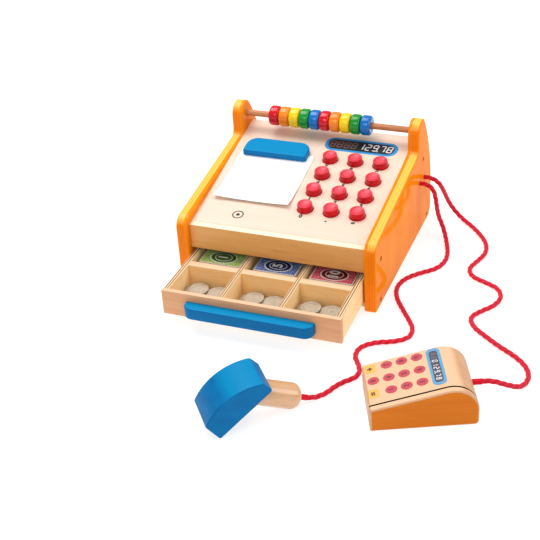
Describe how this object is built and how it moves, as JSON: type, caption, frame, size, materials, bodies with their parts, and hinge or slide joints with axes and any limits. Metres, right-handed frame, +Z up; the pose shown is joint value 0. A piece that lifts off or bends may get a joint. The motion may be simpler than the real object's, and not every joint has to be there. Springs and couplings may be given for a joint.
{
  "type": "toy cash register",
  "caption": "Wooden toy till with sloping keypad face, abacus rod, divided cash drawer, paper clip, and a corded barcode scanner and card reader.",
  "frame": {"origin": "on the table, under the middle of the box around register, scanner and card reader", "axes": "+Z up from the table, +Y from the drawer's front to the register's back, +X to the right"},
  "size_m": [0.4482, 0.526, 0.1573],
  "materials": {
    "beech": "satin",
    "blue_wood": "gloss",
    "coin_silver": "silvered",
    "drawer_ply": "satin",
    "green_bead": "gloss",
    "note_blue": "matt paper",
    "note_green": "matt paper",
    "note_red": "matt paper",
    "orange_bead": "gloss",
    "orange_wood": "gloss",
    "pale_ply": "satin",
    "paper_white": "matt paper",
    "reader_wood": "satin",
    "red_cord": "braided cotton",
    "red_wood": "gloss",
    "steel": "satin",
    "yellow_bead": "gloss"
  },
  "bodies": {
    "root": {"side_panel_left": "orange_wood", "side_panel_right": "orange_wood", "face_panel": "pale_ply", "apron": "beech", "front_rail": "beech", "rear_rail": "beech", "base_panel": "drawer_ply", "back_panel": "drawer_ply", "key_board": "drawer_ply", "key_board_cleats": "beech", "key_springs": "steel", "abacus_rod": "beech", "paper_clip": "blue_wood", "clip_screws": "steel", "panel_screws": "steel", "scanner_cord": "red_cord", "reader_cord": "red_cord", "cord_knots": "red_cord"},
    "drawer": {"drawer_front": "drawer_ply", "drawer_side_left": "drawer_ply", "drawer_side_right": "drawer_ply", "drawer_back": "drawer_ply", "drawer_bottom": "drawer_ply", "drawer_cross_divider": "drawer_ply", "drawer_divider_left": "drawer_ply", "drawer_divider_right": "drawer_ply", "drawer_handle": "blue_wood", "handle_screws": "steel", "notes_green": "note_green", "notes_blue": "note_blue", "notes_red": "note_red", "coins": "coin_silver"},
    "paper": {"paper_pad": "paper_white"},
    "scanner": {"scanner_head": "blue_wood", "scanner_handle": "beech", "scanner_cord_sleeve": "red_cord"},
    "reader": {"reader_body": "reader_wood", "reader_cord_sleeve": "red_cord"},
    "key_7": {"key_7": "red_wood"},
    "key_8": {"key_8": "red_wood"},
    "key_9": {"key_9": "red_wood"},
    "key_4": {"key_4": "red_wood"},
    "key_5": {"key_5": "red_wood"},
    "key_6": {"key_6": "red_wood"},
    "key_1": {"key_1": "red_wood"},
    "key_2": {"key_2": "red_wood"},
    "key_3": {"key_3": "red_wood"},
    "key_0": {"key_0": "red_wood"},
    "key_point": {"key_point": "red_wood"},
    "key_equals": {"key_equals": "red_wood"},
    "bead_1": {"bead_1": "red_wood"},
    "bead_2": {"bead_2": "red_wood"},
    "bead_3": {"bead_3": "orange_bead"},
    "bead_4": {"bead_4": "orange_bead"},
    "bead_5": {"bead_5": "yellow_bead"},
    "bead_6": {"bead_6": "yellow_bead"},
    "bead_7": {"bead_7": "green_bead"},
    "bead_8": {"bead_8": "green_bead"},
    "bead_9": {"bead_9": "blue_wood"},
    "bead_10": {"bead_10": "blue_wood"}
  },
  "joints": [
    {"name": "drawer_slide", "type": "slide", "parent": "root", "child": "drawer", "axis": [0, -1, 0], "range_m": [-0.09, 0.06]},
    {"name": "key_7_press", "type": "slide", "parent": "root", "child": "key_7", "axis": [0, 0.1874, -0.9823], "range_m": [0, 0.003], "stiffness_N_per_m": 300, "springref_m": -0.002, "deforming": ["key_springs"]},
    {"name": "key_8_press", "type": "slide", "parent": "root", "child": "key_8", "axis": [0, 0.1874, -0.9823], "range_m": [0, 0.003], "stiffness_N_per_m": 300, "springref_m": -0.002, "deforming": ["key_springs"]},
    {"name": "key_9_press", "type": "slide", "parent": "root", "child": "key_9", "axis": [0, 0.1874, -0.9823], "range_m": [0, 0.003], "stiffness_N_per_m": 300, "springref_m": -0.002, "deforming": ["key_springs"]},
    {"name": "key_4_press", "type": "slide", "parent": "root", "child": "key_4", "axis": [0, 0.1874, -0.9823], "range_m": [0, 0.003], "stiffness_N_per_m": 300, "springref_m": -0.002, "deforming": ["key_springs"]},
    {"name": "key_5_press", "type": "slide", "parent": "root", "child": "key_5", "axis": [0, 0.1874, -0.9823], "range_m": [0, 0.003], "stiffness_N_per_m": 300, "springref_m": -0.002, "deforming": ["key_springs"]},
    {"name": "key_6_press", "type": "slide", "parent": "root", "child": "key_6", "axis": [0, 0.1874, -0.9823], "range_m": [0, 0.003], "stiffness_N_per_m": 300, "springref_m": -0.002, "deforming": ["key_springs"]},
    {"name": "key_1_press", "type": "slide", "parent": "root", "child": "key_1", "axis": [0, 0.1874, -0.9823], "range_m": [0, 0.003], "stiffness_N_per_m": 300, "springref_m": -0.002, "deforming": ["key_springs"]},
    {"name": "key_2_press", "type": "slide", "parent": "root", "child": "key_2", "axis": [0, 0.1874, -0.9823], "range_m": [0, 0.003], "stiffness_N_per_m": 300, "springref_m": -0.002, "deforming": ["key_springs"]},
    {"name": "key_3_press", "type": "slide", "parent": "root", "child": "key_3", "axis": [0, 0.1874, -0.9823], "range_m": [0, 0.003], "stiffness_N_per_m": 300, "springref_m": -0.002, "deforming": ["key_springs"]},
    {"name": "key_0_press", "type": "slide", "parent": "root", "child": "key_0", "axis": [0, 0.1874, -0.9823], "range_m": [0, 0.003], "stiffness_N_per_m": 300, "springref_m": -0.002, "deforming": ["key_springs"]},
    {"name": "key_point_press", "type": "slide", "parent": "root", "child": "key_point", "axis": [0, 0.1874, -0.9823], "range_m": [0, 0.003], "stiffness_N_per_m": 300, "springref_m": -0.002, "deforming": ["key_springs"]},
    {"name": "key_equals_press", "type": "slide", "parent": "root", "child": "key_equals", "axis": [0, 0.1874, -0.9823], "range_m": [0, 0.003], "stiffness_N_per_m": 300, "springref_m": -0.002, "deforming": ["key_springs"]},
    {"name": "beads_left_slide", "type": "slide", "parent": "root", "child": "bead_5", "axis": [-1, 0, 0], "range_m": [0, 0.033]},
    {"name": "beads_right_slide", "type": "slide", "parent": "root", "child": "bead_6", "axis": [1, 0, 0], "range_m": [0, 0.05]},
    {"name": "bead_1_spin", "type": "hinge", "parent": "bead_5", "child": "bead_1", "pos_m": [-0.07907, 0.21508, 0.14132], "axis": [1, 0, 0], "continuous": true},
    {"name": "bead_2_spin", "type": "hinge", "parent": "bead_5", "child": "bead_2", "pos_m": [-0.07907, 0.21508, 0.14132], "axis": [1, 0, 0], "continuous": true},
    {"name": "bead_3_spin", "type": "hinge", "parent": "bead_5", "child": "bead_3", "pos_m": [-0.07907, 0.21508, 0.14132], "axis": [1, 0, 0], "continuous": true},
    {"name": "bead_4_spin", "type": "hinge", "parent": "bead_5", "child": "bead_4", "pos_m": [-0.07907, 0.21508, 0.14132], "axis": [1, 0, 0], "continuous": true},
    {"name": "bead_7_spin", "type": "hinge", "parent": "bead_6", "child": "bead_7", "pos_m": [-0.07907, 0.21508, 0.14132], "axis": [1, 0, 0], "continuous": true},
    {"name": "bead_8_spin", "type": "hinge", "parent": "bead_6", "child": "bead_8", "pos_m": [-0.07907, 0.21508, 0.14132], "axis": [1, 0, 0], "continuous": true},
    {"name": "bead_9_spin", "type": "hinge", "parent": "bead_6", "child": "bead_9", "pos_m": [-0.07907, 0.21508, 0.14132], "axis": [1, 0, 0], "continuous": true},
    {"name": "bead_10_spin", "type": "hinge", "parent": "bead_6", "child": "bead_10", "pos_m": [-0.07907, 0.21508, 0.14132], "axis": [1, 0, 0], "continuous": true},
    {"name": "paper_slide", "type": "slide", "parent": "root", "child": "paper", "axis": [0, -0.9823, -0.1874], "range_m": [0, 0.045]},
    {"name": "scanner_lift", "type": "slide", "parent": "root", "child": "scanner", "axis": [0, 0, 1], "range_m": [0, 0.12]},
    {"name": "reader_lift", "type": "slide", "parent": "root", "child": "reader", "axis": [0, 0, 1], "range_m": [0, 0.12]}
  ]
}
